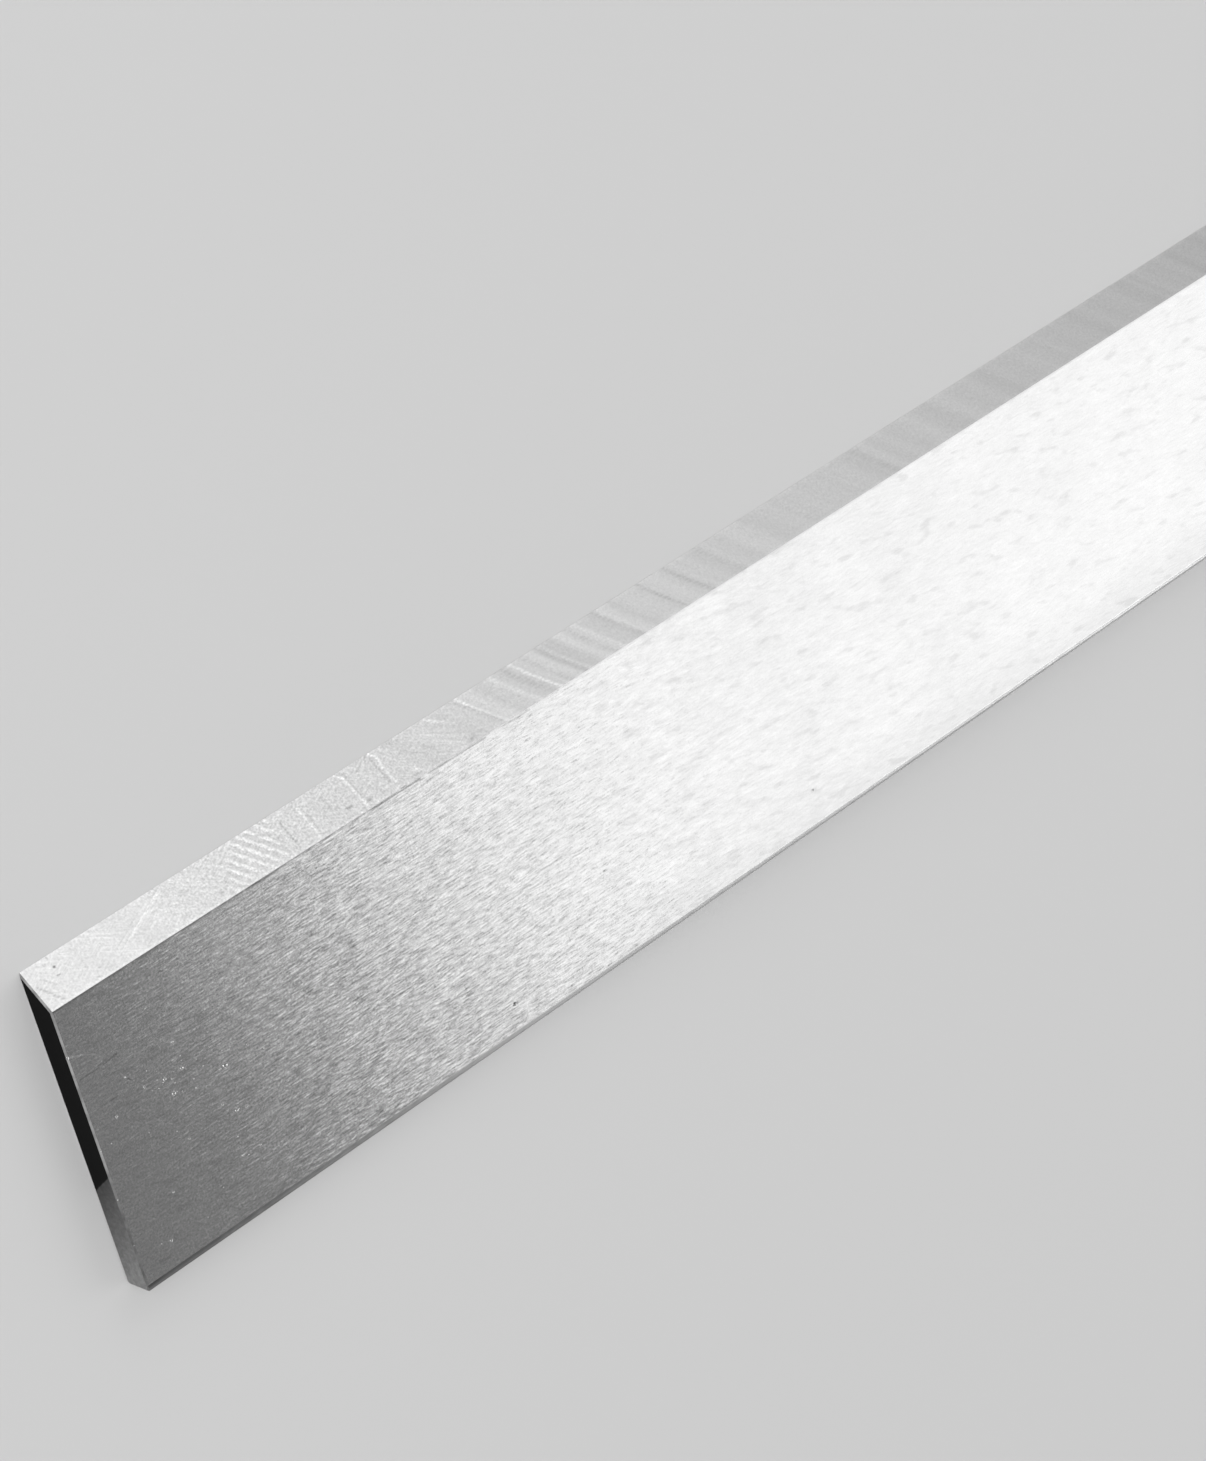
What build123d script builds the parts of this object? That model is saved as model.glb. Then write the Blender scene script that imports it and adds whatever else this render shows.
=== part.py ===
from build123d import *
import math
import os

# Planer knife: a flat bar of tool steel with one long edge ground to a single bevel.
# It lies on its back face. X runs along the knife, Y from the heel to the cutting edge
# and Z from the back face up to the front face, where the bevel is ground.
# The origin is the centre of the back face. All sizes are in millimetres.

# Bar
knife_length = 310.0
knife_width = 30.0  # heel to cutting edge
knife_thickness = 3.0

# Bevel
bevel_angle = 45.0  # degrees, between the bevel and the back face

# Broken edges
heel_break_run = 0.5  # heel's front chamfer, measured across the front face
heel_break_drop = 0.25  # the same chamfer, measured down the heel
heel_back_break = 0.2  # chamfer between the heel and the back face
end_break = 0.15  # chamfer round the outline of each end

bevel_run = knife_thickness / math.tan(math.radians(bevel_angle))
heel_y = -knife_width / 2
edge_y = knife_width / 2

os.makedirs("parts", exist_ok=True)

with BuildPart() as knife:
    # The cross-section is drawn whole: back face, keen edge, bevel, front face, heel.
    with BuildSketch(Plane.YZ) as section:
        with BuildLine() as outline:
            Polyline(
                (heel_y, 0),
                (edge_y, 0),
                (edge_y - bevel_run, knife_thickness),
                (heel_y, knife_thickness),
                close=True,
            )
        make_face()
    extrude(amount=knife_length / 2, both=True)

    # The heel's long edges are broken, wider across the front face than down the heel.
    front_face = faces().sort_by(Axis.Z)[-1]
    heel_edges = faces().sort_by(Axis.Y)[0].edges().filter_by(Axis.X).sort_by(Axis.Z)
    chamfer(heel_edges[-1], length=heel_break_run, length2=heel_break_drop, reference=front_face)
    chamfer(heel_edges[0], length=heel_back_break)

    # Both ends are cut square and their outlines are broken.
    end_faces = faces().filter_by(Axis.X)
    chamfer(end_faces.edges(), length=end_break)

knife.part.label = "knife"
export_step(knife.part, "parts/knife.step")
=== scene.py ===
import math
import bmesh
import bpy
from mathutils import Matrix, Vector, noise


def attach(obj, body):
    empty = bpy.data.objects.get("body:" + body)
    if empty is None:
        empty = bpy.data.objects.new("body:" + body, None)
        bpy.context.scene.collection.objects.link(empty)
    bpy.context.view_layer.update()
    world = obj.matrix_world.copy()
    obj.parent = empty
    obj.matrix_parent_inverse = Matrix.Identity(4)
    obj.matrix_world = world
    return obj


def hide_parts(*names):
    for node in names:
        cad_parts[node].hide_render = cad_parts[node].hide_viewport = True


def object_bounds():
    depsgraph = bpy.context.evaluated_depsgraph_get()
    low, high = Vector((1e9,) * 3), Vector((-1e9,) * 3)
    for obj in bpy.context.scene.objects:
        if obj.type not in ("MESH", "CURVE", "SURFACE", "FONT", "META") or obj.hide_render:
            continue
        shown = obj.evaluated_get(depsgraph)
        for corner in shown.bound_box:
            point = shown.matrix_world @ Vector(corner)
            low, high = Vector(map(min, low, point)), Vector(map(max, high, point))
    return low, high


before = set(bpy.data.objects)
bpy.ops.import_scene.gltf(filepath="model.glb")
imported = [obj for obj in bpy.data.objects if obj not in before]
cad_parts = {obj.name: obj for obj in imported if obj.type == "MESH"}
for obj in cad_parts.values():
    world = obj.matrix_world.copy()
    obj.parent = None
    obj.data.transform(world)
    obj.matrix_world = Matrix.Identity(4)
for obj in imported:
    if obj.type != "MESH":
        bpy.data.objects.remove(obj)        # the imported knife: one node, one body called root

bpy.context.scene.view_settings.view_transform = "Standard"
mm = 0.001
cadLow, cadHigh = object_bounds()        # the knife's own box, before anything is added
nearEnd = cadLow[0]
bevelStart = cadHigh[1] - cadHigh[2]        # the bevel is ground at 45 degrees over the whole thickness
print("knife loaded")


# Small helpers for building node trees

def fill(tree, node, inputs):
    for key, value in inputs.items():
        if isinstance(value, bpy.types.NodeSocket):
            tree.links.new(value, node.inputs[key])
        else:
            node.inputs[key].default_value = value
    return node


def addNode(tree, kind, inputs=None, **settings):
    made = tree.nodes.new(kind)
    for name, value in settings.items():
        setattr(made, name, value)
    return fill(tree, made, inputs or {})


def calc(tree, operation, first, second=0.0):
    return addNode(tree, "ShaderNodeMath", {0: first, 1: second}, operation=operation).outputs[0]


def product(tree, first, *others):
    for value in others:
        first = calc(tree, "MULTIPLY", first, value)
    return first


def total(tree, first, *others):
    for value in others:
        first = calc(tree, "ADD", first, value)
    return first


def vectorCalc(tree, operation, first, second=(0, 0, 0)):
    return addNode(tree, "ShaderNodeVectorMath", {0: first, 1: second}, operation=operation).outputs[0]


def vectorOf(tree, x=0.0, y=0.0, z=0.0):
    return addNode(tree, "ShaderNodeCombineXYZ", {0: x, 1: y, 2: z}).outputs[0]


def axesOf(tree, vector):
    return addNode(tree, "ShaderNodeSeparateXYZ", {0: vector}).outputs


def scaled(tree, vector, factor):
    return addNode(tree, "ShaderNodeVectorMath", {0: vector, "Scale": factor}, operation="SCALE").outputs[0]


def remap(tree, value, fromLow, fromHigh, toLow, toHigh, how="LINEAR"):
    limits = {"Value": value, "From Min": fromLow, "From Max": fromHigh, "To Min": toLow, "To Max": toHigh}
    return addNode(tree, "ShaderNodeMapRange", limits, interpolation_type=how, clamp=True).outputs["Result"]


def noiseAt(tree, vector, scale, detail=2.0, roughness=0.5):
    return addNode(tree, "ShaderNodeTexNoise", {
        "Vector": vector, "Scale": scale, "Detail": detail, "Roughness": roughness}).outputs[0]


def centred(tree, value):
    return calc(tree, "SUBTRACT", value, 0.5)        # noise lies around a half


def newGroup(name, inputs, outputs):
    group = bpy.data.node_groups.new(name, "ShaderNodeTree")
    for title, value in inputs.items():
        kind = "NodeSocketVector" if value is None or isinstance(value, tuple) else "NodeSocketFloat"
        socket = group.interface.new_socket(title, in_out="INPUT", socket_type=kind)
        if value is not None:
            socket.default_value = value
    for title, kind in outputs.items():
        group.interface.new_socket(title, in_out="OUTPUT", socket_type="NodeSocket" + kind)
    return group, addNode(group, "NodeGroupInput").outputs, addNode(group, "NodeGroupOutput")


def useGroup(tree, group, inputs):
    placed = addNode(tree, "ShaderNodeGroup", node_tree=group)
    return fill(tree, placed, inputs).outputs


# Camera: the photograph's view of the near end

photoView = {
    "place": (-310.43, 169.37, 291.95),        # mm
    "aim": (-94.53, 6.09, 3.0),                # mm, the point in the middle of the picture
    "roll": 102.94,                            # degrees
    "lens": 111.6,                             # mm
    "sensor": 36.0,                            # mm, on the picture's long side
    "nearClip": 10,                            # mm
}


def pointed(place, aim, roll):
    level = (Vector(aim) - Vector(place)).to_track_quat("-Z", "Y").to_matrix()
    turned = level @ Matrix.Rotation(math.radians(roll), 3, "Z")
    return Matrix.Translation(Vector(place) * mm) @ turned.to_4x4()


def setCamera(values):
    data = bpy.data.cameras.new("photoCamera")
    data.lens = values["lens"]
    data.sensor_width = values["sensor"]
    data.clip_start = values["nearClip"] * mm
    camera = bpy.data.objects.new("photoCamera", data)
    camera.matrix_world = pointed(values["place"], values["aim"], values["roll"])
    bpy.context.scene.collection.objects.link(camera)
    bpy.context.scene.camera = camera


setCamera(photoView)
print("camera set")


# Studio: pale floor, softly glowing room and soft boxes

studio = {
    "floorColour": (0.62, 0.62, 0.62, 1),
    "floorRoughness": 0.9,
    "floorSpecular": 0.2,
    "floorSide": 12.0,                         # m
    "floorDrop": 0.02,                         # mm under the knife, so that the two don't share a plane
    "wallGlow": 0.55,
    "ceilingGlow": 0.24,
    "wallTop": 28,                             # degrees above the horizon
    "ceilingStart": 47,
}

softBoxes = {
    # three in one plane make the soft edge that the front face mirrors near its end
    "faceBoxWide": {
        "place": (404.5, -224.4, 393.2), "aim": (77.3, 60.9, -90.6), "roll": -37.2,
        "width": 546, "height": 400, "glow": 0.405,
    },
    "faceBoxMiddle": {
        "place": (417.1, -220.6, 388.2), "aim": (89.9, 64.7, -95.6), "roll": -37.2,
        "width": 520, "height": 400, "glow": 0.405,
    },
    "faceBoxNarrow": {
        "place": (432.2, -215.9, 382.2), "aim": (105.0, 69.4, -101.6), "roll": -37.2,
        "width": 488, "height": 400, "glow": 0.405,
    },
    # two that the bevel mirrors, the second only by its nearer part
    "bevelBoxWide": {
        "place": (156, 555, 324), "aim": (-159, 8, 15), "roll": 0,
        "width": 505, "height": 420, "glow": 0.51,
    },
    "bevelBoxNear": {
        "place": (34, 605, 326), "aim": (-281, 58, 17), "roll": 0,
        "width": 260, "height": 420, "glow": 0.9,
    },
    # low down, mirrored by the far part of the heel's broken edge
    "heelBox": {
        "place": (440, -440, 84), "aim": (0, -15, 0), "roll": 0,
        "width": 300, "height": 116, "glow": 1.55,
    },
    # behind the camera, lights the floor
    "fillBox": {
        "place": (-900, 350, 1200), "aim": (-90, 0, 0), "roll": 0,
        "width": 1300, "height": 1300, "glow": 3.15,
    },
}


def makeFloor(values):
    bpy.ops.mesh.primitive_plane_add(size=values["floorSide"], location=(0, 0, -values["floorDrop"] * mm))
    floor = bpy.context.object
    floor.name = "studioFloor"
    material = bpy.data.materials.new("paleFloor")
    material.use_nodes = True
    surface = material.node_tree.nodes["Principled BSDF"]
    surface.inputs["Base Color"].default_value = values["floorColour"]
    surface.inputs["Roughness"].default_value = values["floorRoughness"]
    surface.inputs["Specular IOR Level"].default_value = values["floorSpecular"]
    floor.data.materials.append(material)


def makeRoom(values):
    world = bpy.data.worlds.new("studioRoom")
    world.use_nodes = True
    bpy.context.scene.world = world
    tree = world.node_tree
    direction = addNode(tree, "ShaderNodeTexCoord").outputs["Generated"]
    height = axesOf(tree, direction)["Z"]
    low = math.sin(math.radians(values["wallTop"]))
    high = math.sin(math.radians(values["ceilingStart"]))
    glow = remap(tree, height, low, high, values["wallGlow"], values["ceilingGlow"], "SMOOTHSTEP")
    fill(tree, tree.nodes["Background"], {"Color": (1, 1, 1, 1), "Strength": glow})


def makeSoftBox(name, values):
    data = bpy.data.lights.new(name, "AREA")
    data.shape = "RECTANGLE"
    data.size = values["width"] * mm
    data.size_y = values["height"] * mm
    data.energy = values["glow"] * math.pi * data.size * data.size_y        # watts for that brightness
    box = bpy.data.objects.new(name, data)
    box.matrix_world = pointed(values["place"], values["aim"], values["roll"])
    box.visible_camera = False
    bpy.context.scene.collection.objects.link(box)


makeFloor(studio)
makeRoom(studio)
for boxName, boxValues in softBoxes.items():
    makeSoftBox(boxName, boxValues)
print("studio lit")


# Shared effects, as node groups placed in each material with its own values

def makeGrindMarks():
    group, given, result = newGroup(
        "grindMarks",
        {"Position": None, "Lean": 0.12, "Length": 3 * mm, "Width": 0.45 * mm,
         "Grain Size": 0.2 * mm, "Seed": 0.0},
        {"Streaks": "Float", "Gloss": "Float", "Dashes": "Float", "Grain": "Float"},
    )

    def swing(vector, scale, detail, roughness):        # noise between about -1 and 1
        return product(group, centred(group, noiseAt(group, vector, scale, detail, roughness)), 2.0)

    def moved(vector, offset):        # to another part of the noise, so that the patterns differ
        return vectorCalc(group, "ADD", vector, offset)

    turned = addNode(group, "ShaderNodeVectorRotate", {"Vector": given["Position"], "Angle": given["Lean"]},
                     rotation_type="Z_AXIS").outputs[0]
    size = vectorOf(group, given["Length"], given["Width"], given["Width"])
    shift = vectorOf(group, given["Seed"], 0.0, given["Seed"])
    place = moved(vectorCalc(group, "DIVIDE", turned, size), shift)
    short = vectorCalc(group, "MULTIPLY", moved(place, (3.7, 9.2, 1.4)), (2.0, 1.0, 1.0))
    dashes = swing(moved(place, (17.3, 5.1, 8.7)), 0.7, 1.5, 0.5)
    fine = moved(given["Position"], scaled(group, shift, 0.01))
    fill(group, result, {
        "Streaks": swing(place, 1.0, 3.0, 0.7),
        "Gloss": swing(short, 1.2, 3.0, 0.7),
        "Dashes": remap(group, dashes, 0.12, 0.44, 0.0, 1.0, "SMOOTHSTEP"),        # single, far apart
        "Grain": swing(fine, calc(group, "DIVIDE", 1.0, given["Grain Size"]), 1.0, 0.6),
    })
    return group


def makeTilt():
    group, given, result = newGroup(
        "tiltAlong", {"Normal": None, "Along": (1.0, 0.0, 0.0), "Slope": 0.0}, {"Normal": "Vector"})
    along = addNode(group, "ShaderNodeVectorTransform", {0: given["Along"]},
                    vector_type="VECTOR", convert_from="OBJECT", convert_to="WORLD").outputs[0]
    leaning = vectorCalc(group, "ADD", given["Normal"], scaled(group, along, given["Slope"]))
    fill(group, result, {0: vectorCalc(group, "NORMALIZE", leaning)})
    return group


def makeScratch():
    group, given, result = newGroup(
        "scratch",
        {"Position": None, "Start": (0.0, 0.0, 0.0), "End": (0.001, 0.0, 0.0), "Width": 0.1 * mm},
        {"Mask": "Float"},
    )

    def dot(first, second):
        return addNode(group, "ShaderNodeVectorMath", {0: first, 1: second},
                       operation="DOT_PRODUCT").outputs["Value"]

    reach = vectorCalc(group, "SUBTRACT", given["End"], given["Start"])
    offset = vectorCalc(group, "SUBTRACT", given["Position"], given["Start"])
    share = calc(group, "DIVIDE", dot(offset, reach), dot(reach, reach))
    share = addNode(group, "ShaderNodeClamp", {0: share}).outputs[0]
    gap = vectorCalc(group, "SUBTRACT", offset, scaled(group, reach, share))
    distance = addNode(group, "ShaderNodeVectorMath", {0: gap}, operation="LENGTH").outputs["Value"]
    fill(group, result, {0: remap(group, distance, 0.0, given["Width"], 1.0, 0.0, "SMOOTHSTEP")})
    return group


# a line along an edge, with breaks: worn on the front face, a painted highlight on the bevel
def makeLineWearAndGlint():
    group, given, result = newGroup(
        "lineWearAndGlint",
        {"Position": None, "Distance": 0.0, "Width": 0.3 * mm, "Patch Size": 1.5 * mm, "Breaks": 0.5},
        {"Mask": "Float"},
    )
    distance = calc(group, "ABSOLUTE", given["Distance"])
    near = remap(group, distance, 0.0, given["Width"], 1.0, 0.0, "SMOOTHSTEP")
    patches = noiseAt(group, given["Position"], calc(group, "DIVIDE", 1.0, given["Patch Size"]))
    patches = remap(group, patches, 0.35, 0.65, 0.0, 1.0)        # the line breaks where these are high
    kept = calc(group, "SUBTRACT", 1.0, product(group, given["Breaks"], patches))
    fill(group, result, {0: product(group, near, kept)})
    return group


def makeWheelArcs():
    group, given, result = newGroup(
        "wheelArcs",
        {"Along": 0.0, "Across": 0.0, "Radius": 25 * mm, "Centre": -12.5 * mm},
        {"Phase": "Float"},
    )
    rise = calc(group, "SUBTRACT", given["Across"], given["Centre"])
    radiusSquared = product(group, given["Radius"], given["Radius"])
    chord = calc(group, "SQRT", calc(group, "SUBTRACT", radiusSquared, product(group, rise, rise)))
    fill(group, result, {0: total(group, given["Along"], chord)})
    return group


grindMarks = makeGrindMarks()
tiltAlong = makeTilt()
scratch = makeScratch()
lineWearAndGlint = makeLineWearAndGlint()
wheelArcs = makeWheelArcs()
print("effects made")


# Materials

steel = (0.62, 0.62, 0.62)


def startMaterial(name, colour, roughness):
    material = bpy.data.materials.new(name)
    material.use_nodes = True
    tree = material.node_tree
    surface = tree.nodes["Principled BSDF"]
    surface.inputs["Base Color"].default_value = (*colour, 1)
    surface.inputs["Metallic"].default_value = 1.0
    surface.inputs["Roughness"].default_value = roughness
    position = addNode(tree, "ShaderNodeTexCoord").outputs["Object"]
    return material, tree, surface, position


def bumpOf(tree, pattern, height):
    raised = product(tree, pattern, height)
    return addNode(tree, "ShaderNodeBump", {"Distance": 1.0, "Height": raised}).outputs[0]


def mixed(tree, share, first, second):
    return addNode(tree, "ShaderNodeMix", {0: share, 6: first, 7: second}, data_type="RGBA").outputs[2]


def shaded(tree, mask, amount):
    return total(tree, product(tree, mask, amount), 1.0)        # a factor of 1 where the mask is nought


def shadeColour(tree, surface, colour, factors):
    fill(tree, surface, {"Base Color": scaled(tree, colour, product(tree, *factors))})


def stepsOf(tree, x, steps):
    result = steps[0][1]
    for (start, low), (end, high) in zip(steps, steps[1:]):
        rise = remap(tree, x, nearEnd + start * mm, nearEnd + end * mm, 0.0, high - low)
        result = total(tree, rise, result)
    return result


def wearAndGlintLine(tree, position, distance, line):
    return useGroup(tree, lineWearAndGlint, {
        "Position": position, "Distance": distance, "Width": line["width"] * mm,
        "Patch Size": line["patch"] * mm, "Breaks": line["breaks"]})["Mask"]


def onFront(along, y):
    return (nearEnd + along * mm, y * mm, cadHigh[2])


def onBevel(along, across):
    return (nearEnd + along * mm, cadHigh[1] - across * mm / math.sqrt(2), across * mm / math.sqrt(2))


def scratchFactors(tree, position, marks, place, values, beads=1.0):
    wander = addNode(tree, "ShaderNodeTexNoise", {
        "Vector": position, "Scale": values["raggedScale"], "Detail": 1.0}).outputs["Color"]
    wander = vectorCalc(tree, "SUBTRACT", wander, (0.5, 0.5, 0.5))
    strayed = vectorCalc(tree, "ADD", position, scaled(tree, wander, values["ragged"] * mm))
    factors = []
    for start, end, width, share in marks:
        mask = useGroup(tree, scratch, {
            "Position": strayed, "Start": place(*start), "End": place(*end), "Width": width * mm})["Mask"]
        factors.append(shaded(tree, product(tree, mask, beads), share))
    return factors


# Every shade is a share of light, less than nought where it is darker. A list of pairs goes along
# the knife: mm from the near end, then the value there
faceGrind = {
    "colour": steel,
    "roughness": 0.14,
    "roughnessSpread": 0.08,
    "lean": 1,                                 # degrees off the length, towards the heel
    "dashLength": 1.1,                         # mm
    "dashWidth": 0.16,                         # mm
    "streakShade": 0.05,
    "dashShade": -0.04,
    "tilt": 0.068,                             # slope that a full streak gives along the knife
    "punch": 1.2,                              # how much more the strongest streaks lean
    "brightPunch": 0.6,                        # the same, more for bright streaks and less for dark ones
    "tiltRise": [
        (2, 0.45), (16, 0.5), (26, 0.95), (36, 1.05), (44, 1.2), (60, 1.5), (75, 1.2), (95, 0.6),
        (150, 0.4),
    ],
    "dashTilt": 0.008,                         # slope of the dashes
    "leanBack": -0.0035,                       # slope of the whole face, away from the near end's light
    "height": 2.0e-6,                          # m, of a full streak
    "grainSize": 0.2,                          # mm
    "grainTilt": 0.022,
    "grainShade": [(0, 0.32), (12, 0.26), (30, 0.12), (48, 0.05)],
    "broadLean": 12,                           # degrees, of the soft wide marks
    "broadLength": 1.9,                        # mm
    "broadWidth": 0.68,                        # mm
    "broadShade": [
        (0, 0.06), (40, 0.13), (56, 0.19), (66, 0.20), (76, 0.16), (90, 0.12), (110, 0.09), (150, 0.07),
    ],
    "broadDashShade": -0.10,
    "cloudSize": 7,                            # mm
    "cloudShade": 0.05,
    "edgeLine": {"width": 0.3, "patch": 2, "breaks": 0.4},        # mm, darker, beside the bevel
    "edgeShade": [(25, -0.5), (48, -0.125)],
    "heelWidth": 5,                            # mm, of the band of painted shade along the heel
    "heelShade": [(30, 0.0), (70, -0.10)],
    "ragged": 0.12,                            # mm, how far the single marks stray
    "raggedScale": 4500,                       # noise cells per metre
    "seed": 3.0,
    "broadSeed": 14.0,
}

backGrind = dict(faceGrind, seed=41.0, broadSeed=52.0, edgeShade=[(0, 0.0)])

# Marks on the front face: both ends in mm from the near end and across the knife, width, share of light
faceScratches = [
    ((0.2, 7.65), (1.3, 7.3), 0.15, 0.50),
    ((1.3, 7.3), (2.6, 6.6), 0.12, 0.24),
    ((0.5, 5.42), (2.4, 5.4), 0.13, -0.30),
    ((2.4, 5.55), (3.3, 5.65), 0.13, -0.30),
    ((3.0, 5.45), (4.4, 5.6), 0.15, -0.34),
    ((2.5, 2.25), (3.2, 2.25), 0.16, -0.30),
    ((1.6, 2.3), (2.1, 2.2), 0.12, -0.14),
    ((1.9, 2.05), (2.4, 2.0), 0.12, 0.16),
    ((4.2, 3.8), (4.5, 3.2), 0.12, 0.25),
    ((4.65, 3.05), (4.85, 2.85), 0.12, -0.30),
    ((5.7, 1.75), (5.9, 1.35), 0.14, 0.25),
    ((9.4, 1.3), (10.0, 1.0), 0.15, 0.28),
    ((9.4, 3.7), (9.8, 3.65), 0.14, 0.22),
    ((7.2, -2.7), (7.7, -2.8), 0.16, -0.16),
    ((4.2, -2.4), (4.7, -2.5), 0.16, -0.14),
    ((10.5, 9.85), (10.9, 9.75), 0.16, -0.18),
    ((15.7, 8.5), (15.9, 8.4), 0.18, -0.20),
    ((15.6, 4.2), (16.6, 4.1), 0.14, -0.20),
    ((12.2, -9.1), (12.9, -9.1), 0.14, 0.20),
    ((9.4, -12.9), (11.8, -12.9), 0.26, 0.08),
    ((20.5, -0.8), (21.2, -0.9), 0.16, 0.22),
    ((43.0, -12.0), (43.4, -12.0), 0.22, -0.50),
    ((81.5, -11.2), (82.0, -11.3), 0.25, -0.15),
    ((20.8, 11.85), (24.2, 11.88), 0.16, -0.30),
    ((35.0, 11.88), (40.5, 11.85), 0.17, -0.40),
    ((41.5, 11.86), (48.2, 11.82), 0.16, -0.32),
    ((51.0, 11.8), (53.5, 11.8), 0.14, -0.22),
    ((60.0, 10.0), (62.2, 10.2), 0.20, -0.08),
    ((63.0, 8.7), (65.8, 8.3), 0.20, -0.10),
]


def makeGroundFace(name, values, marks=()):
    material, tree, surface, position = startMaterial(name, values["colour"], values["roughness"])
    axes = axesOf(tree, position)

    def steps(key):
        return stepsOf(tree, axes["X"], values[key])

    ground = useGroup(tree, grindMarks, {
        "Position": position, "Lean": math.radians(values["lean"]), "Length": values["dashLength"] * mm,
        "Width": values["dashWidth"] * mm, "Grain Size": values["grainSize"] * mm, "Seed": values["seed"],
    })
    broad = useGroup(tree, grindMarks, {
        "Position": position, "Lean": math.radians(values["broadLean"]),
        "Length": values["broadLength"] * mm, "Width": values["broadWidth"] * mm,
        "Grain Size": values["cloudSize"] * mm, "Seed": values["broadSeed"],
    })
    strength = total(
        tree,
        product(tree, calc(tree, "ABSOLUTE", ground["Streaks"]), values["punch"]),
        product(tree, ground["Streaks"], values["brightPunch"]),
        1.0,
    )
    slope = total(
        tree,
        product(tree, ground["Streaks"], strength, values["tilt"]),
        product(tree, ground["Grain"], values["grainTilt"]),
        product(tree, ground["Dashes"], values["dashTilt"]),
        values["leanBack"],
    )
    leaning = useGroup(tree, tiltAlong, {
        "Normal": bumpOf(tree, ground["Streaks"], values["height"]),
        "Slope": product(tree, slope, steps("tiltRise")),
    })
    rough = total(tree, product(tree, ground["Gloss"], values["roughnessSpread"]), values["roughness"])
    fill(tree, surface, {"Normal": leaning["Normal"], "Roughness": rough})
    fromBevel = calc(tree, "SUBTRACT", axes["Y"], bevelStart)
    besideHeel = remap(tree, axes["Y"], cadLow[1], cadLow[1] + values["heelWidth"] * mm, 1.0, 0.0)
    shadeColour(tree, surface, values["colour"], [
        shaded(tree, ground["Streaks"], values["streakShade"]),
        shaded(tree, ground["Grain"], steps("grainShade")),
        shaded(tree, ground["Dashes"], values["dashShade"]),
        shaded(tree, broad["Streaks"], steps("broadShade")),
        shaded(tree, broad["Dashes"], values["broadDashShade"]),
        shaded(tree, broad["Grain"], values["cloudShade"]),
        shaded(tree, wearAndGlintLine(tree, position, fromBevel, values["edgeLine"]), steps("edgeShade")),
        # painted shade along the heel, from 30 mm on towards the far end
        shaded(tree, besideHeel, steps("heelShade")),
        *scratchFactors(tree, position, marks, onFront, values),
    ])
    return material


bevelGrind = {
    "colour": steel,
    "roughness": 0.32,
    "roughnessSpread": 0.06,
    "height": 1.5e-6,                          # m
    "patchScale": 900,                         # noise cells per metre, as every scale is
    # two levels of the patches' noise, between which each of these patterns comes or goes
    "chatterPatches": (0.3, 0.5),
    "risingPatches": (0.42, 0.6),
    "fallingPatches": (0.38, 0.56),
    "arcPatches": (0.3, 0.6),
    "arcRadius": 32,                           # mm
    "arcCentre": -15,                          # mm from the cutting edge, outside the bevel
    "arcSpacing": 0.3,                         # mm, of the finest arcs
    "wobble": 0.45,                            # mm, how far the arcs stray
    "wobbleScale": 2600,
    "beadSpacing": 0.34,                       # mm, cross marks along every arc
    "beadRange": (0.45, 1.2),                  # strength of an arc between and on them
    "chatterSpacing": 1.0,                     # mm between the strongest arcs
    "chatterSlant": 0.71,                      # of the line where they begin
    "chatterStart": (21.9, 22.7),              # mm from the near end at the cutting edge
    "chatterEnd": (25.7, 26.9),                # mm from the near end
    "chatterFade": (3.2, 4.0),                 # mm from the cutting edge
    "chatterBeside": 0.3,                      # its share past that, beside the face
    "chatterLeast": 0.6,                       # its share in the faintest patches
    "chatterShade": 0.25,
    "ridgeSlant": -0.72,
    "hollowTop": -0.2,                         # height on the wave up to which a hollow's painted shade is darkest
    "hollowShare": -0.35,                      # painted shade in a hollow, a crest with its painted highlight being 1
    "mottleRise": [(12, 0.6), (15, 1.0), (36, 1.0), (55, 0.35)],
    "mottleScale": 3000,
    "mottleShade": 0.55,
    "grainScale": 5200,
    "grainShade": 0.75,
    "hatchSpacing": 0.42,                      # mm
    "hatchSlants": (2.2, -1.7),
    "hatchShade": [(43, 0.36), (54, 0.054)],
    "broadSpacing": 2.6,                       # mm
    "broadShade": [(44, 0.1125), (52, 0.45), (58, 0.45), (70, 0.225)],
    "arcLeast": 0.5,                           # share of a single arc in the faintest patches
    "markStrength": 1.8,                       # on all the single marks listed below
    "ragged": 0.16,                            # mm, how far they stray
    "raggedScale": 4500,
    "keenLine": {"width": 0.35, "patch": 3, "breaks": 0.6},        # mm, a painted highlight along the cutting edge
    "keenShade": 0.08,
    "innerPlace": 4.12,                        # mm from the cutting edge, a painted highlight beside the face
    "innerLine": {"width": 0.14, "patch": 1, "breaks": 0.5},
    "innerShade": [(28, 0.16), (60, 0.048)],
}

# Single arcs that the wheel left: mm from the near end at the cutting edge, width, share of light
bevelArcs = [
    (47.9, 0.35, -0.06),
    (48.35, 0.36, 0.11),
    (49.6, 0.90, 0.04),
    (51.4, 0.80, -0.07),
    (52.4, 0.50, 0.10),
    (53.9, 0.90, -0.09),
    (54.9, 0.36, 0.14),
    (56.2, 0.60, -0.06),
    (57.9, 0.55, -0.06),
    (58.5, 0.45, 0.07),
    (61.6, 0.70, -0.07),
    (62.7, 0.45, 0.08),
    (65.0, 0.40, -0.06),
    (65.6, 0.40, 0.04),
    (70.6, 0.40, -0.11),
    (73.9, 0.50, -0.08),
    (78.0, 0.60, -0.06),
    (88.0, 0.90, -0.05),
    (89.6, 0.70, 0.05),
    (98.6, 0.80, -0.05),
]

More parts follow.
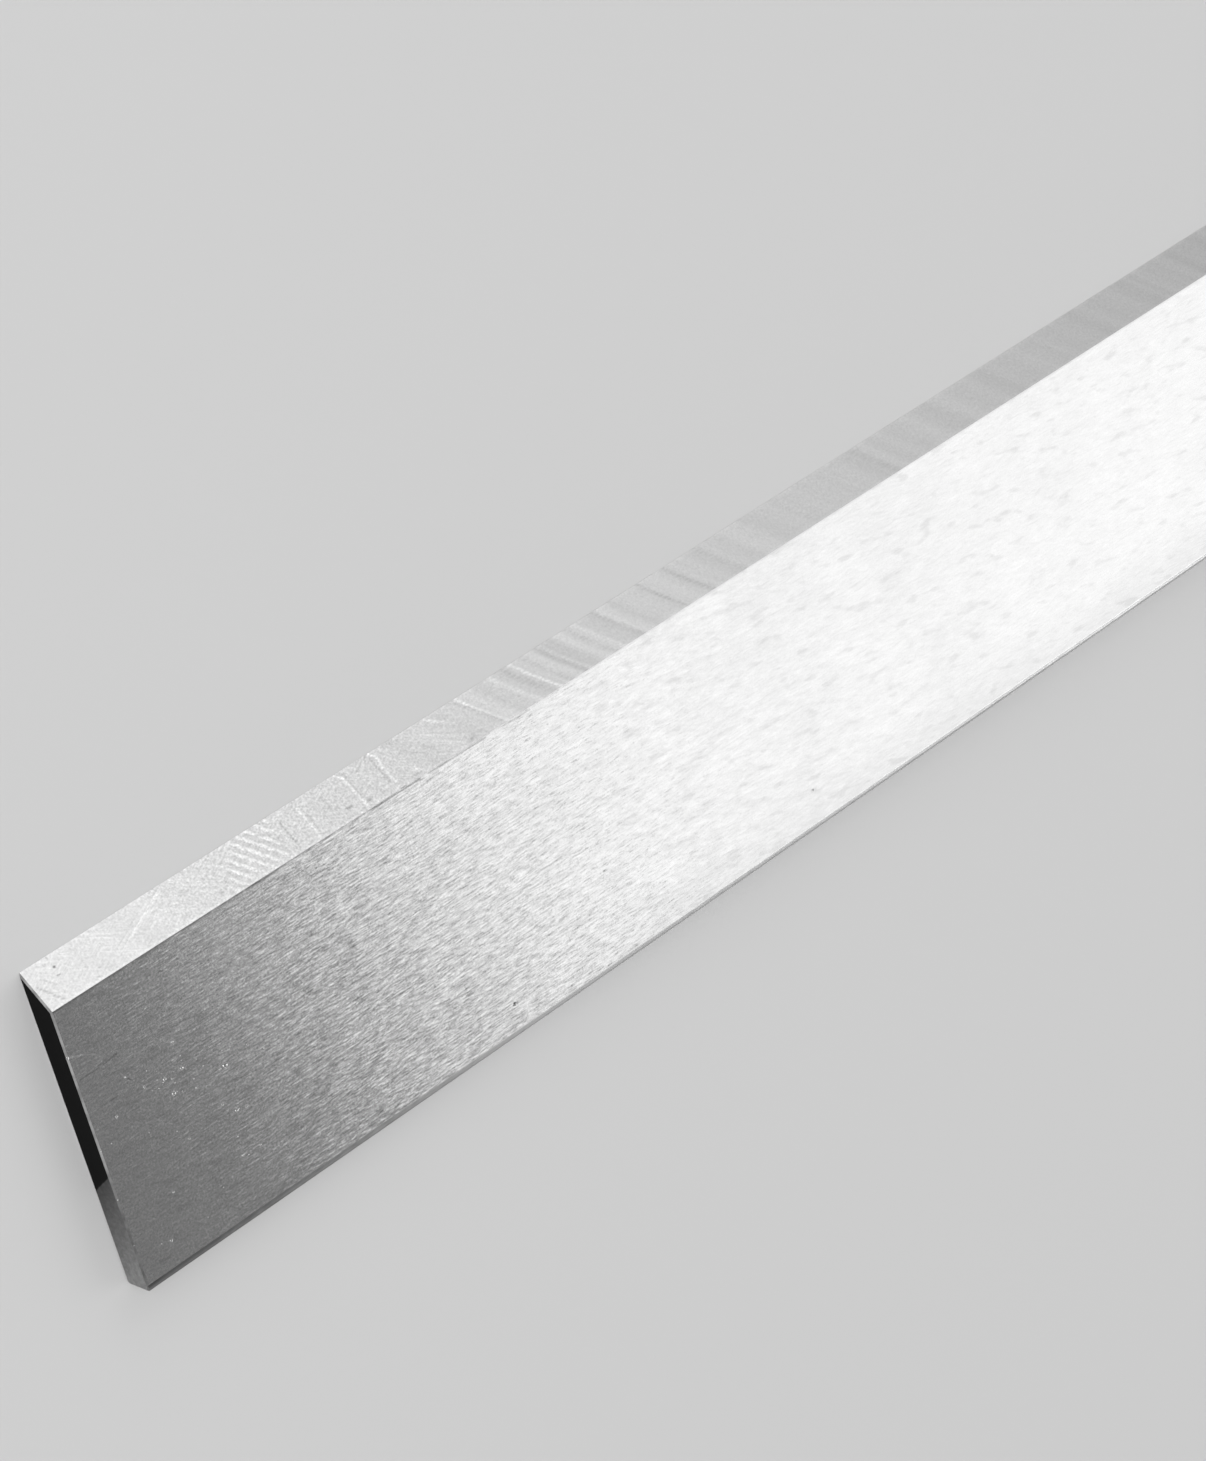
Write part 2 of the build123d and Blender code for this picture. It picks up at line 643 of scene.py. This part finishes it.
# Single marks: ends in mm from the near end and across from the cutting edge, width, share of light
bevelScratches = [
    ((2.2, 0.58), (2.3, 0.6), 0.16, -0.22),
    ((2.85, 1.1), (2.9, 1.2), 0.20, -0.34),
    ((2.6, 1.9), (2.9, 1.95), 0.15, -0.24),
    ((2.8, 0.15), (2.85, 0.25), 0.14, -0.18),
    ((2.5, 1.05), (3.4, 0.1), 0.10, 0.07),
    ((0.5, 1.9), (1.7, 3.85), 0.24, -0.14),
    ((1.2, 1.4), (2.0, 2.5), 0.20, -0.07),
    ((5.0, 2.55), (5.15, 2.65), 0.15, -0.16),
    ((5.9, 3.2), (6.1, 3.35), 0.16, -0.12),
    ((5.2, 3.8), (5.4, 3.85), 0.15, -0.12),
    ((7.3, 1.55), (7.6, 1.7), 0.16, -0.08),
    ((9.6, 2.6), (14.2, 0.55), 0.22, 0.11),
    ((11.6, 2.9), (14.8, 1.3), 0.20, 0.04),
    ((18.4, 3.35), (19.3, 3.35), 0.24, -0.12),
    ((19.8, 2.85), (19.9, 2.9), 0.24, -0.12),
    ((20.5, 2.3), (20.6, 2.35), 0.24, -0.12),
    ((21.2, 1.85), (21.3, 1.9), 0.22, -0.10),
    ((21.9, 1.3), (22.0, 1.35), 0.22, -0.10),
    ((22.5, 0.75), (22.7, 0.8), 0.22, -0.10),
    ((23.3, 0.25), (23.6, 0.3), 0.22, -0.10),
    ((27.3, 0.9), (27.3, 3.7), 0.18, -0.14),
    ((29.45, 0.8), (29.45, 3.9), 0.18, 0.14),
    ((29.8, 1.2), (29.8, 3.9), 0.18, -0.08),
    ((31.9, 1.0), (31.9, 2.4), 0.20, -0.08),
    ((34.2, 0.1), (34.8, 0.7), 0.18, 0.16),
    ((34.72, 0.7), (34.85, 3.9), 0.26, 0.15),
    ((35.05, 0.4), (35.0, 3.0), 0.18, -0.12),
    ((33.1, 3.1), (33.7, 3.2), 0.26, -0.16),
    ((35.25, 3.45), (35.4, 3.55), 0.30, -0.18),
    ((35.7, 3.7), (35.9, 4.1), 0.22, 0.09),
    ((33.6, 3.4), (34.0, 4.1), 0.14, 0.08),
    ((38.2, 0.1), (38.6, 0.7), 0.20, 0.18),
    ((38.6, 0.7), (38.4, 1.8), 0.24, 0.18),
    ((38.4, 2.1), (38.5, 3.4), 0.22, 0.15),
    ((38.0, 0.5), (38.0, 3.2), 0.20, -0.11),
    ((38.4, 4.2), (39.0, 4.2), 0.14, -0.25),
    ((40.2, 3.9), (40.9, 4.0), 0.40, -0.08),
    ((40.4, 3.2), (41.0, 3.6), 0.35, 0.06),
    ((40.6, 3.3), (41.4, 3.9), 0.20, 0.06),
    ((42.1, 0.9), (46.3, 3.8), 0.20, 0.06),
    ((43.0, 0.9), (46.7, 3.4), 0.20, 0.05),
    ((42.9, 2.2), (43.7, 2.9), 0.30, -0.07),
    ((41.6, 2.6), (42.1, 3.0), 0.16, 0.05),
    ((44.6, 0.2), (45.5, 0.9), 0.22, 0.18),
    ((45.7, 1.05), (46.7, 1.8), 0.20, 0.12),
    ((46.7, 4.0), (47.4, 3.6), 0.30, -0.14),
    ((48.6, 0.6), (49.6, 2.2), 0.25, 0.06),
    ((48.9, 1.3), (50.6, 3.9), 0.25, -0.10),
    ((43.3, 4.1), (44.1, 4.1), 0.14, -0.06),
]


def makeBevelFace(name, values):
    material, tree, surface, position = startMaterial(name, values["colour"], values["roughness"])
    axes = axesOf(tree, position)
    along = calc(tree, "SUBTRACT", axes["X"], nearEnd)
    across = product(tree, calc(tree, "SUBTRACT", cadHigh[1], axes["Y"]), math.sqrt(2))

    def steps(key):
        return stepsOf(tree, axes["X"], values[key])

    def fade(value, limits, low, high):
        return remap(tree, value, limits[0] * mm, limits[1] * mm, low, high)

    def wave(value, spacing):
        return calc(tree, "SINE", product(tree, value, 2 * math.pi / (spacing * mm)))

    def lines(value, spacing):
        made = addNode(tree, "ShaderNodeTexNoise", {"W": value, "Scale": 1 / (spacing * mm), "Detail": 2.0},
                       noise_dimensions="1D").outputs[0]
        return centred(tree, made)

    def slanted(slope):
        return total(tree, along, product(tree, across, slope))

    def speckle(scale, detail=2.0):
        return centred(tree, noiseAt(tree, position, scale, detail))

    patches = noiseAt(tree, position, values["patchScale"])

    def inPatches(key, low, high):
        return remap(tree, patches, *values[key], low, high)

    strays = product(tree, speckle(values["wobbleScale"]), values["wobble"] * mm)
    phase = useGroup(tree, wheelArcs, {
        "Along": along, "Across": across, "Radius": values["arcRadius"] * mm,
        "Centre": values["arcCentre"] * mm})["Phase"]
    phase = total(tree, phase, strays)
    beads = wave(total(tree, across, strays), values["beadSpacing"])
    beads = remap(tree, beads, -1.0, 1.0, *values["beadRange"])
    ridges = wave(total(tree, slanted(values["ridgeSlant"]), strays), values["chatterSpacing"])
    chatter = product(
        tree,
        remap(tree, ridges, values["hollowTop"], 1.0, values["hollowShare"], 1.0),
        fade(slanted(values["chatterSlant"]), values["chatterStart"], 0.0, 1.0),
        fade(along, values["chatterEnd"], 1.0, 0.0),
        fade(across, values["chatterFade"], 1.0, values["chatterBeside"]),
        inPatches("chatterPatches", values["chatterLeast"], 1.0),
    )
    mottled = steps("mottleRise")
    rising, falling = [
        lines(total(tree, slanted(slant), strays), values["hatchSpacing"])
        for slant in values["hatchSlants"]
    ]
    hatch = total(
        tree,
        product(tree, rising, inPatches("risingPatches", 0.0, 1.0)),
        product(tree, falling, inPatches("fallingPatches", 1.0, 0.0)),
    )
    fromInner = calc(tree, "SUBTRACT", across, values["innerPlace"] * mm)
    factors = [
        # painted highlight on the chatter's crests and painted shade in its hollows, on top of their bump
        shaded(tree, chatter, values["chatterShade"]),
        shaded(tree, product(tree, speckle(values["mottleScale"]), mottled), values["mottleShade"]),
        shaded(tree, product(tree, speckle(values["grainScale"], 1.0), mottled), values["grainShade"]),
        shaded(tree, hatch, steps("hatchShade")),
        shaded(tree, lines(phase, values["broadSpacing"]), steps("broadShade")),
        # painted highlights: a brighter line along the cutting edge and one beside the face
        shaded(tree, wearAndGlintLine(tree, position, across, values["keenLine"]), values["keenShade"]),
        shaded(tree, wearAndGlintLine(tree, position, fromInner, values["innerLine"]), steps("innerShade")),
    ]
    startPhase = math.sqrt(values["arcRadius"] ** 2 - values["arcCentre"] ** 2)
    arcStrength = product(tree, inPatches("arcPatches", values["arcLeast"], 1.0), beads)
    for start, width, share in bevelArcs:
        gap = calc(tree, "ABSOLUTE", calc(tree, "SUBTRACT", phase, (start + startPhase) * mm))
        line = remap(tree, gap, 0.0, width * mm, 1.0, 0.0, "SMOOTHSTEP")
        factors.append(shaded(tree, product(tree, line, arcStrength), share * values["markStrength"]))
    markBeads = product(tree, beads, values["markStrength"])
    factors += scratchFactors(tree, position, bevelScratches, onBevel, values, markBeads)
    relief = total(tree, lines(phase, values["arcSpacing"]), chatter)
    rough = product(tree, centred(tree, patches), values["roughnessSpread"])
    fill(tree, surface, {
        "Normal": bumpOf(tree, relief, values["height"]),
        "Roughness": total(tree, rough, values["roughness"]),
    })
    shadeColour(tree, surface, values["colour"], factors)
    return material


heelBroken = {
    # steel painted lighter than the faces' steel: a painted highlight for the light the broken edge catches
    "colour": (0.72, 0.72, 0.72),
    "roughness": 0.3,
    "nearShadeLeft": 0.22,                         # what is left of the colour at the near end, under the painted shade
    "nearShadeReach": 60,                          # mm from the near end, over which the painted shade fades out
    "nearShadeUneven": 30,                         # mm
    "patchScale": 700,
    "patchShade": -0.35,
    "fileScale": (900, 9000, 9000),
    "fileMarks": 4.0e-6,                       # m
}


def makeHeelEdge(name, values):
    material, tree, surface, position = startMaterial(name, values["colour"], values["roughness"])
    along = calc(tree, "SUBTRACT", axesOf(tree, position)["X"], nearEnd)
    patches = centred(tree, noiseAt(tree, position, values["patchScale"], 3.0))
    # painted shade: the broken edge darker towards the near end, where its light is dimmer, ending unevenly
    uneven = total(tree, along, product(tree, patches, values["nearShadeUneven"] * mm))
    nearShade = remap(tree, uneven, 0.0, values["nearShadeReach"] * mm, 1.0, 0.0, "SMOOTHSTEP")
    filed = noiseAt(tree, vectorCalc(tree, "MULTIPLY", position, values["fileScale"]), 1.0)
    fill(tree, surface, {"Normal": bumpOf(tree, filed, values["fileMarks"])})
    shadeColour(tree, surface, values["colour"], [
        shaded(tree, nearShade, values["nearShadeLeft"] - 1),
        shaded(tree, patches, values["patchShade"]),
    ])
    return material


rimBroken = {
    "colour": steel,
    "roughness": 0.28,
    "patchScale": 800,
    "patchLevels": (0.35, 0.6),                # of the noise, dullest below and brightest above
    "patchLeft": 0.6,                          # what is left of the light in the dullest patches
    "brightFrom": -1,                          # mm across the knife, above this the rim is bright
    "dullFrom": -9,
    "dullLeft": 0.45,
}


def makeRim(name, values):
    material, tree, surface, position = startMaterial(name, values["colour"], values["roughness"])
    patches = noiseAt(tree, position, values["patchScale"], 3.0)
    y = axesOf(tree, position)["Y"]
    shadeColour(tree, surface, values["colour"], [
        remap(tree, y, values["dullFrom"] * mm, values["brightFrom"] * mm, values["dullLeft"], 1.0),
        remap(tree, patches, *values["patchLevels"], values["patchLeft"], 1.0),
    ])
    return material


# the near end face: dark on the bevel's side of a slanted line, paler towards the heel, palest near its
# corner
endDarkAndPale = {
    "darkColour": (0.003, 0.003, 0.003),
    "paleColour": (0.10, 0.10, 0.10),
    "cornerColour": (0.35, 0.35, 0.35),
    "cornerReach": 9,                          # mm, over which pale turns to the corner's colour
    "roughness": 0.6,
    "specular": 0.05,
    "boundaryLow": (-5.6, 0.35),               # mm, where the dark part stops: y and z at two heights
    "boundaryHigh": (-4.0, 2.54),
    "boundaryWidth": 0.06,                     # mm, to each side
    "ragged": 0.25,                            # mm
    "patchScale": 1800,
    "patchLevels": (0.3, 0.7),
    "patchRange": (0.82, 1.12),                # light in the darkest and the brightest patches
    "grainScale": 5500,
    "grainShade": -0.5,
    "height": 6.0e-6,                          # m
}


def makeEndFace(name, values):
    material, tree, surface, position = startMaterial(name, values["darkColour"], values["roughness"])
    axes = axesOf(tree, position)
    (lowY, lowZ), (highY, highZ) = values["boundaryLow"], values["boundaryHigh"]
    slant = (highY - lowY) / (highZ - lowZ)
    limit = total(tree, product(tree, axes["Z"], slant), (lowY - slant * lowZ) * mm)
    patches = noiseAt(tree, position, values["patchScale"], 3.0)
    rough = product(tree, centred(tree, patches), values["ragged"] * mm)
    pastLine = total(tree, calc(tree, "SUBTRACT", limit, axes["Y"]), rough)
    width = values["boundaryWidth"] * mm
    pale = remap(tree, pastLine, -width, width, 0.0, 1.0)
    corner = remap(tree, pastLine, 0.0, values["cornerReach"] * mm, 0.0, 1.0)
    paleTone = mixed(tree, corner, (*values["paleColour"], 1), (*values["cornerColour"], 1))
    grain = centred(tree, noiseAt(tree, position, values["grainScale"], 1.0))
    shadeColour(tree, surface, mixed(tree, pale, (*values["darkColour"], 1), paleTone), [
        remap(tree, patches, *values["patchLevels"], *values["patchRange"]),
        shaded(tree, grain, values["grainShade"]),
    ])
    fill(tree, surface, {
        "Metallic": pale, "Normal": bumpOf(tree, patches, values["height"]),
        "Specular IOR Level": values["specular"],
    })
    return material


# The knife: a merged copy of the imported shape, its broken edge along the heel rolled over

knifeShape = {
    "merge": 0.001,                            # mm, corners closer than this are one
    "flatAngle": 0.5,                          # degrees, faces that turn less are joined
    "cell": 2.0,                               # mm, length of the cells along the knife
    "heelWander": 0.04,                        # mm, unevenness of the heel's broken edge
    "wanderLength": 3.1,                       # mm
    "wanderDepth": 0.02,                       # mm under the top, only corners above this wander
    "wanderSeed": 4.7,
    "evenEnd": 0.3,                            # mm at each end that doesn't wander
    "heelRoll": 0.16,                          # mm, rounding between the heel's chamfer and the front
    "rollSegments": 4,
    "sliver": 0.0003,                          # mm, as merge, once the pits are cut
}

frontFace, bevelFace, backFace, heelFace, nearFace, farFace, endRim = range(7)        # material slots


def faceKind(face):
    n = face.normal
    if n.z > 0.99:
        return frontFace
    if n.y > 0.5 and n.z > 0.5 and abs(n.x) < 0.1:
        return bevelFace
    if n.z < -0.99:
        return backFace
    if n.x < -0.9:
        return nearFace
    if n.x > 0.9:
        return farFace
    if abs(n.x) > 0.3:
        return endRim
    return heelFace


def makeKnifeMesh(values):
    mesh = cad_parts["knife"].data.copy()
    mesh.materials.clear()
    shape = bmesh.new()
    shape.from_mesh(mesh)
    bmesh.ops.remove_doubles(shape, verts=shape.verts[:], dist=values["merge"] * mm)
    bmesh.ops.dissolve_limit(shape, angle_limit=math.radians(values["flatAngle"]),
                             verts=shape.verts[:], edges=shape.edges[:])
    for face in shape.faces:
        face.normal_update()
        face.material_index = faceKind(face)
    step = values["cell"] * mm
    count = int((cadHigh[0] - cadLow[0]) / step)
    for index in range(1, count):
        geometry = shape.verts[:] + shape.edges[:] + shape.faces[:]
        bmesh.ops.bisect_plane(shape, geom=geometry, dist=1e-7, plane_co=(cadLow[0] + index * step, 0, 0),
                               plane_no=(1, 0, 0))
    topLine = cadHigh[2] - values["wanderDepth"] * mm
    evenFrom = cadHigh[0] - values["evenEnd"] * mm
    for vertex in shape.verts:
        x, y, z = vertex.co
        if abs(x) < evenFrom and z > topLine and y < 0:
            spot = Vector((x / (values["wanderLength"] * mm), y / mm, values["wanderSeed"]))
            vertex.co.y += noise.noise(spot) * values["heelWander"] * mm
    rolled = []
    for edge in shape.edges:
        if len(edge.link_faces) != 2:
            continue
        kinds = sorted(face.material_index for face in edge.link_faces)
        first, second = (vertex.co for vertex in edge.verts)
        lengthwise = abs(first.x - second.x) > 0.5 * (first - second).length
        if kinds == [frontFace, heelFace] and lengthwise and first.y < 0:
            rolled.append(edge)
    print("rolled edges", len(rolled))
    bmesh.ops.bevel(shape, geom=rolled, offset=values["heelRoll"] * mm, segments=values["rollSegments"],
                    profile=0.5, affect="EDGES", clamp_overlap=True, material=heelFace)
    shape.to_mesh(mesh)
    shape.free()
    return mesh


pitShape = {
    # two clouds of scattered pits on the front face, in mm
    "clouds": [
        {"count": 24, "seed": 8, "middle": (-144.2, 0.9), "reach": (7.5, 3.0)},
        {"count": 16, "seed": 58, "middle": (-142, -2), "reach": (12, 14)},
    ],
    "size": 0.16,                              # mm
    "smallest": 0.25,                          # share of that size
    "largest": 0.55,
    "rise": 0.62,                              # of a pit's middle above the face, share of its radius
    "stretch": (0.9, 1.7),                     # along the knife
    "turn": (-0.6, 0.4),                       # radians
    "singleSize": 0.17,                        # mm, radius of a single pit of size 1
    "singleRise": 0.1,                         # mm above the face, for size 1
    "nickSize": 0.2,                           # mm, radius of a nick of size 1
    "nickInset": 0.03,                         # mm from the end
    "nickRise": 0.02,                          # mm above the face
}

# Pits and nicks that the photo shows singly: x from the near end and y, in mm, then size
singlePits = [
    (2.5, 0.7, 1.2), (4.4, 3.35, 0.8), (5.8, 1.6, 1.1), (7.8, 1.15, 1.5), (8.5, 0.8, 1.0),
    (9.65, 1.15, 1.5), (8.2, -0.45, 1.8), (13.6, -0.9, 2.2), (13.05, -0.95, 1.1), (9.6, 3.7, 1.1),
    (12.8, 1.4, 0.9), (13.7, 1.1, 1.0), (8.2, -4.85, 1.0), (13.3, -5.15, 1.5), (14.3, -5.4, 1.0),
    (12.2, -3.95, 1.0), (5.15, -8.25, 1.0), (12.5, -9.1, 1.1), (14.4, -9.2, 1.0), (3.5, -12.0, 1.25),
    (43.1, -12.0, 1.5), (81.7, -11.2, 0.8),
]
endNicks = [(7.65, 0.9), (-1.2, 0.7), (-5.9, 0.65), (2.6, 0.5), (-10.4, 0.6)]


def makePitScatter(values):
    tree = bpy.data.node_groups.new("pitScatter", "GeometryNodeTree")
    inputKinds = {
        "NodeSocketFloat": [
            "Reach X", "Reach Y", "Middle X", "Middle Y", "Top", "Pit Size", "Smallest", "Largest"],
        "NodeSocketInt": ["Count", "Seed"],
        "NodeSocketMaterial": ["Material"],
    }
    identifiers = {}
    for kind, titles in inputKinds.items():
        for title in titles:
            socket = tree.interface.new_socket(title, in_out="INPUT", socket_type=kind)
            identifiers[title] = socket.identifier
    tree.interface.new_socket("Geometry", in_out="OUTPUT", socket_type="NodeSocketGeometry")
    given = addNode(tree, "NodeGroupInput").outputs

    def draw(low, high, seedShift):
        seed = total(tree, given["Seed"], seedShift)
        return addNode(tree, "FunctionNodeRandomValue", {2: low, 3: high, "Seed": seed},
                       data_type="FLOAT").outputs[1]

    def spread(firstShift, reach, middle):        # the sum of two draws crowds the points inwards
        both = total(tree, draw(-0.5, 0.5, firstShift), draw(-0.5, 0.5, firstShift + 1))
        return total(tree, product(tree, both, reach), middle)

    points = addNode(tree, "GeometryNodePoints", {"Count": given["Count"]}).outputs[0]
    size = product(tree, draw(given["Smallest"], given["Largest"], 0), given["Pit Size"])
    place = vectorOf(
        tree,
        spread(10, given["Reach X"], given["Middle X"]),
        spread(20, given["Reach Y"], given["Middle Y"]),
        total(tree, given["Top"], product(tree, size, values["rise"])),
    )
    placed = addNode(tree, "GeometryNodeSetPosition", {"Geometry": points, "Position": place}).outputs[0]
    ball = addNode(tree, "GeometryNodeMeshIcoSphere", {"Radius": 1.0, "Subdivisions": 2}).outputs[0]
    balls = addNode(tree, "GeometryNodeInstanceOnPoints", {
        "Points": placed, "Instance": ball,
        "Rotation": vectorOf(tree, z=draw(*values["turn"], 6)),
        "Scale": vectorOf(tree, product(tree, size, draw(*values["stretch"], 5)), size, size),
    }).outputs[0]
    real = addNode(tree, "GeometryNodeRealizeInstances", {0: balls}).outputs[0]
    dressed = addNode(tree, "GeometryNodeSetMaterial", {
        "Geometry": real, "Material": given["Material"]}).outputs[0]
    fill(tree, addNode(tree, "NodeGroupOutput"), {0: dressed})
    return tree, identifiers


def scatterPits(scatter, inputs):
    tree, identifiers = scatter
    holder = bpy.data.objects.new("pitHolder", bpy.data.meshes.new("pitHolder"))
    bpy.context.scene.collection.objects.link(holder)
    modifier = holder.modifiers.new("pits", "NODES")
    modifier.node_group = tree
    for title, value in inputs.items():
        modifier[identifiers[title]] = value
    bpy.context.view_layer.update()
    seen = holder.evaluated_get(bpy.context.evaluated_depsgraph_get())
    mesh = bpy.data.meshes.new_from_object(seen)
    bpy.data.objects.remove(holder)
    return mesh


def addBall(shape, place, size):
    matrix = Matrix.Translation(Vector(place)) @ Matrix.Scale(size, 4)
    bmesh.ops.create_icosphere(shape, subdivisions=2, radius=1, matrix=matrix)


def makeCutters(values, material):
    scatter = makePitScatter(values)
    shape = bmesh.new()
    for cloud in values["clouds"]:
        (reachX, reachY), (middleX, middleY) = cloud["reach"], cloud["middle"]
        mesh = scatterPits(scatter, {
            "Count": cloud["count"], "Seed": cloud["seed"], "Material": material,
            "Reach X": reachX * mm, "Reach Y": reachY * mm,
            "Middle X": middleX * mm, "Middle Y": middleY * mm,
            "Top": cadHigh[2], "Pit Size": values["size"] * mm,
            "Smallest": values["smallest"], "Largest": values["largest"],
        })
        shape.from_mesh(mesh)
        bpy.data.meshes.remove(mesh)
    for along, across, size in singlePits:
        top = cadHigh[2] + values["singleRise"] * size * mm
        addBall(shape, (nearEnd + along * mm, across * mm, top), values["singleSize"] * size * mm)
    for across, size in endNicks:
        place = (nearEnd + values["nickInset"] * mm, across * mm, cadHigh[2] + values["nickRise"] * mm)
        addBall(shape, place, values["nickSize"] * size * mm)
    cutters = bpy.data.meshes.new("cutters")
    shape.to_mesh(cutters)
    shape.free()
    return cutters


def closeMesh(mesh, reach):
    # merges away the slivers that cutting the pits leaves, so that the mesh is closed
    shape = bmesh.new()
    shape.from_mesh(mesh)
    bmesh.ops.remove_doubles(shape, verts=shape.verts[:], dist=reach)
    bmesh.ops.dissolve_degenerate(shape, edges=shape.edges[:], dist=reach)
    bmesh.ops.triangulate(shape, faces=shape.faces[:])
    openEdges = [edge for edge in shape.edges if len(edge.link_faces) != 2]
    print("open edges left:", len(openEdges))
    shape.to_mesh(mesh)
    shape.free()


def makeKnife():
    mesh = makeKnifeMesh(knifeShape)
    front = makeGroundFace("frontGround", faceGrind, faceScratches)
    finishes = [        # in the order of the material slots
        front,
        makeBevelFace("bevelGround", bevelGrind),
        makeGroundFace("backGround", backGrind),
        makeHeelEdge("heelEdge", heelBroken),
        makeEndFace("nearEnd", endDarkAndPale),
        makeGroundFace("farEnd", backGrind),
        makeRim("endRim", rimBroken),
    ]
    for material in finishes:
        mesh.materials.append(material)
    knife = bpy.data.objects.new("knifePiece", mesh)
    cutterMesh = makeCutters(pitShape, front)
    cutterMesh.materials.append(front)
    cutters = bpy.data.objects.new("cutters", cutterMesh)
    for piece in (knife, cutters):
        bpy.context.scene.collection.objects.link(piece)
    cut = knife.modifiers.new("pits", "BOOLEAN")
    cut.operation = "DIFFERENCE"
    cut.solver = "EXACT"
    cut.use_self = True
    cut.object = cutters
    bpy.context.view_layer.update()
    seen = knife.evaluated_get(bpy.context.evaluated_depsgraph_get())
    finished = bpy.data.meshes.new_from_object(seen)
    closeMesh(finished, knifeShape["sliver"] * mm)
    knife.modifiers.clear()
    knife.data = finished
    bpy.data.objects.remove(cutters)
    for polygon in finished.polygons:
        polygon.use_smooth = polygon.material_index == heelFace
    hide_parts("knife")
    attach(knife, "root")
    return knife


knifePiece = makeKnife()
print("knife finished:", len(knifePiece.data.polygons), "faces")
